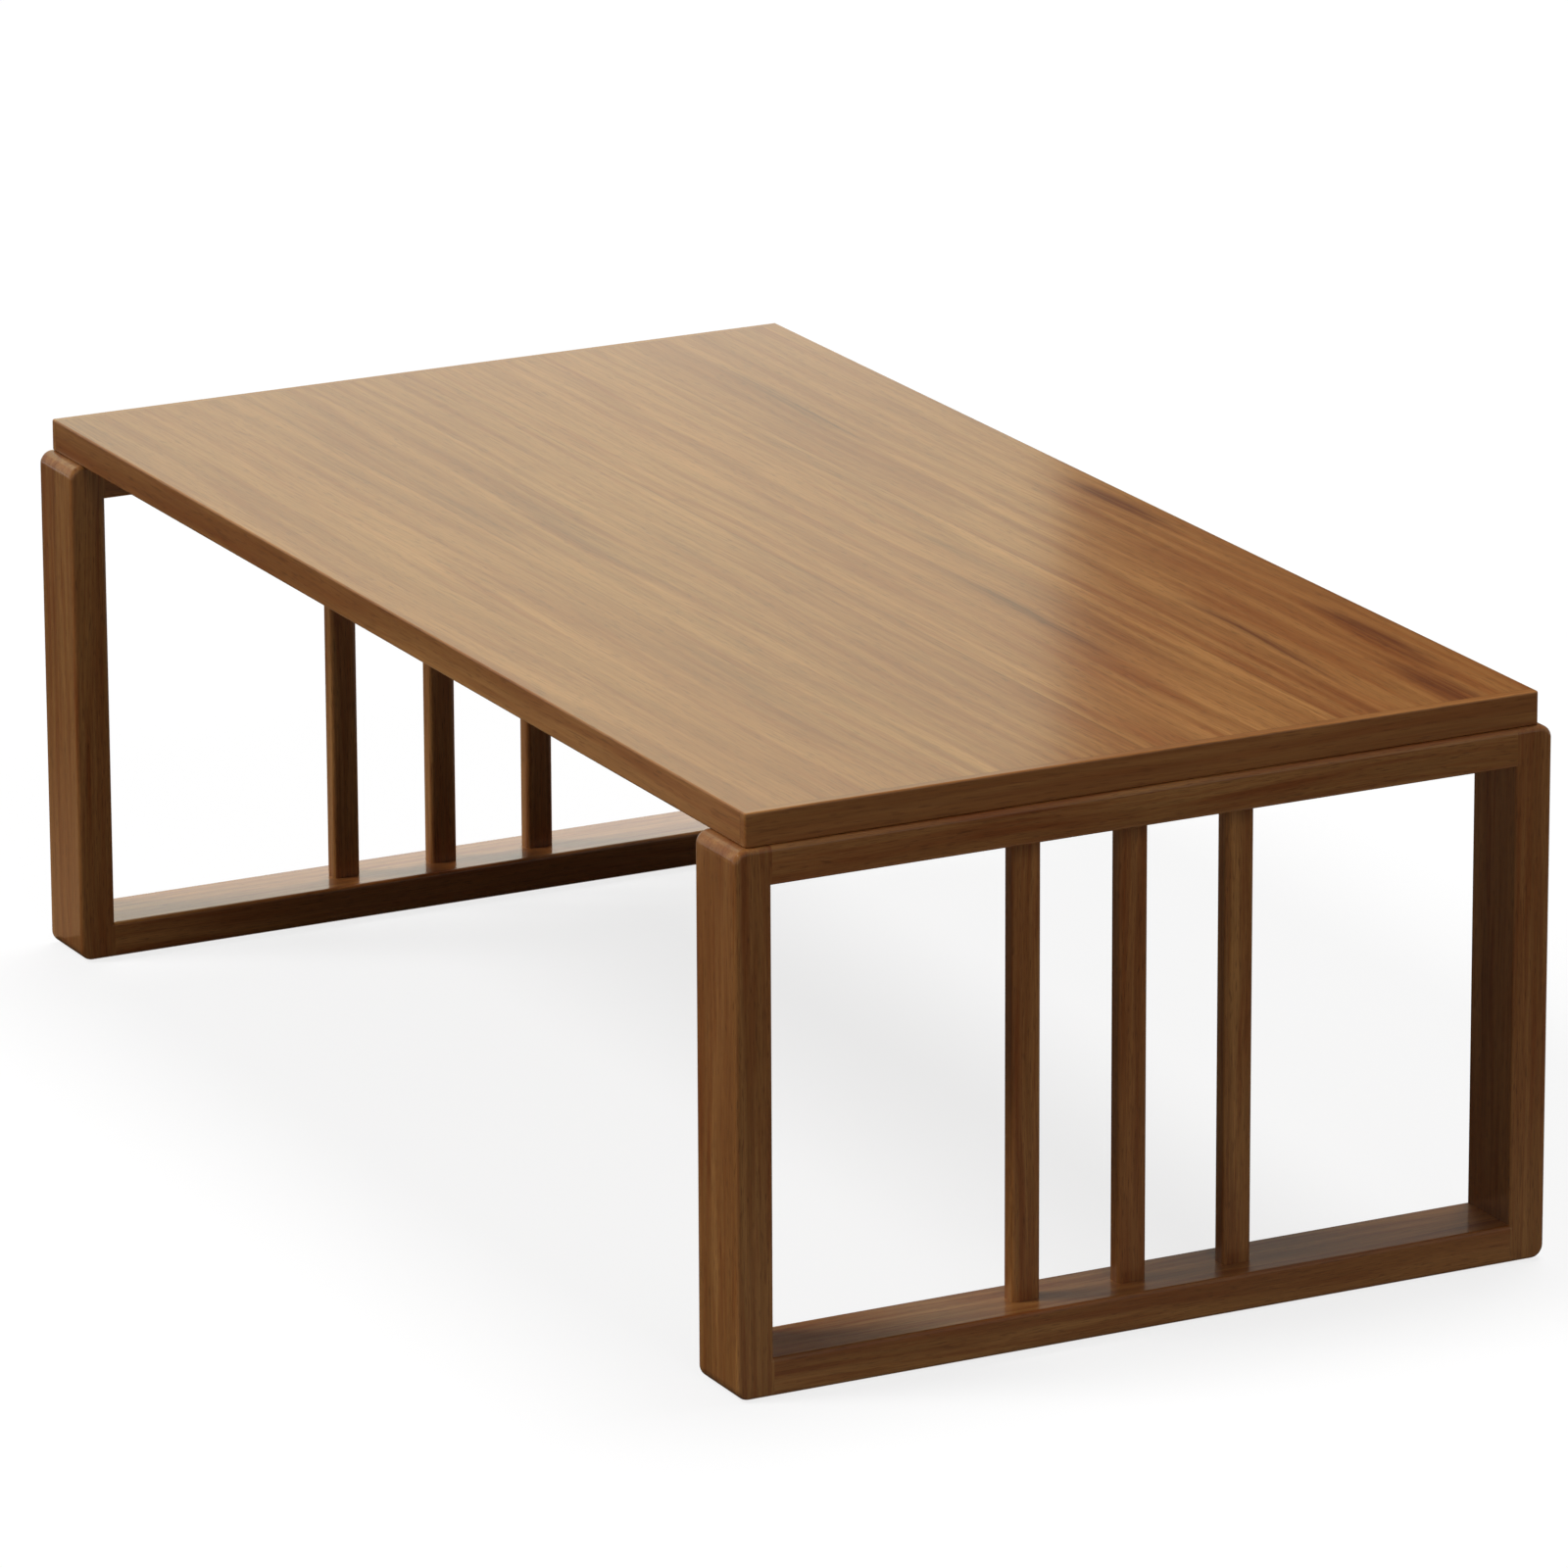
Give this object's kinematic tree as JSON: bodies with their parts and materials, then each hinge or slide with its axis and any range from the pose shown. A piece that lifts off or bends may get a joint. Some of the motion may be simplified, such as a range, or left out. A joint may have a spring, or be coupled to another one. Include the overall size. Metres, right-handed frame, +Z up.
{
  "type": "folding low table",
  "caption": "Low wooden table with a lacquered board top on slatted end frames that fold flat beneath it on snap hinges.",
  "frame": {"origin": "on the floor, under the middle of the tabletop", "axes": "+X along the table's length, +Y across it, +Z up; the end frames stand at -X and +X"},
  "size_m": [0.95, 0.52, 0.34],
  "materials": {
    "lacquered_wood": "gloss lacquer over stained, fine-grained wood",
    "hinge_steel": "zinc plated sheet and wire",
    "spring_steel": "blued spring strip",
    "foot_pad": "matt"
  },
  "bodies": {
    "tabletop": {"top_board_1": "lacquered_wood", "top_board_2": "lacquered_wood", "top_board_3": "lacquered_wood", "top_board_4": "lacquered_wood", "left_end_strip": "lacquered_wood", "right_end_strip": "lacquered_wood", "left_front_base_plate": "hinge_steel", "left_front_hinge_pin": "hinge_steel", "left_front_snap_spring": "spring_steel", "left_back_base_plate": "hinge_steel", "left_back_hinge_pin": "hinge_steel", "left_back_snap_spring": "spring_steel", "right_front_base_plate": "hinge_steel", "right_front_hinge_pin": "hinge_steel", "right_front_snap_spring": "spring_steel", "right_back_base_plate": "hinge_steel", "right_back_hinge_pin": "hinge_steel", "right_back_snap_spring": "spring_steel", "base_screws": "hinge_steel", "spring_rivets": "hinge_steel"},
    "left_frame": {"left_front_leg": "lacquered_wood", "left_front_foot_pad": "foot_pad", "left_front_arm_plate": "hinge_steel", "left_back_leg": "lacquered_wood", "left_back_foot_pad": "foot_pad", "left_back_arm_plate": "hinge_steel", "left_top_rail": "lacquered_wood", "left_bottom_rail": "lacquered_wood", "left_slat_1": "lacquered_wood", "left_slat_2": "lacquered_wood", "left_slat_3": "lacquered_wood", "left_arm_screws": "hinge_steel"},
    "right_frame": {"right_front_leg": "lacquered_wood", "right_front_foot_pad": "foot_pad", "right_front_arm_plate": "hinge_steel", "right_back_leg": "lacquered_wood", "right_back_foot_pad": "foot_pad", "right_back_arm_plate": "hinge_steel", "right_top_rail": "lacquered_wood", "right_bottom_rail": "lacquered_wood", "right_slat_1": "lacquered_wood", "right_slat_2": "lacquered_wood", "right_slat_3": "lacquered_wood", "right_arm_screws": "hinge_steel"}
  },
  "joints": [
    {"name": "left_frame_fold", "type": "hinge", "parent": "tabletop", "child": "left_frame", "pos_m": [-0.418, 0, 0.311], "axis": [0, -1, 0], "range_deg": [0, 90], "deforming": ["left_front_snap_spring", "left_back_snap_spring"]},
    {"name": "right_frame_fold", "type": "hinge", "parent": "tabletop", "child": "right_frame", "pos_m": [0.418, 0, 0.311], "axis": [0, 1, 0], "range_deg": [0, 90], "deforming": ["right_front_snap_spring", "right_back_snap_spring"]}
  ]
}
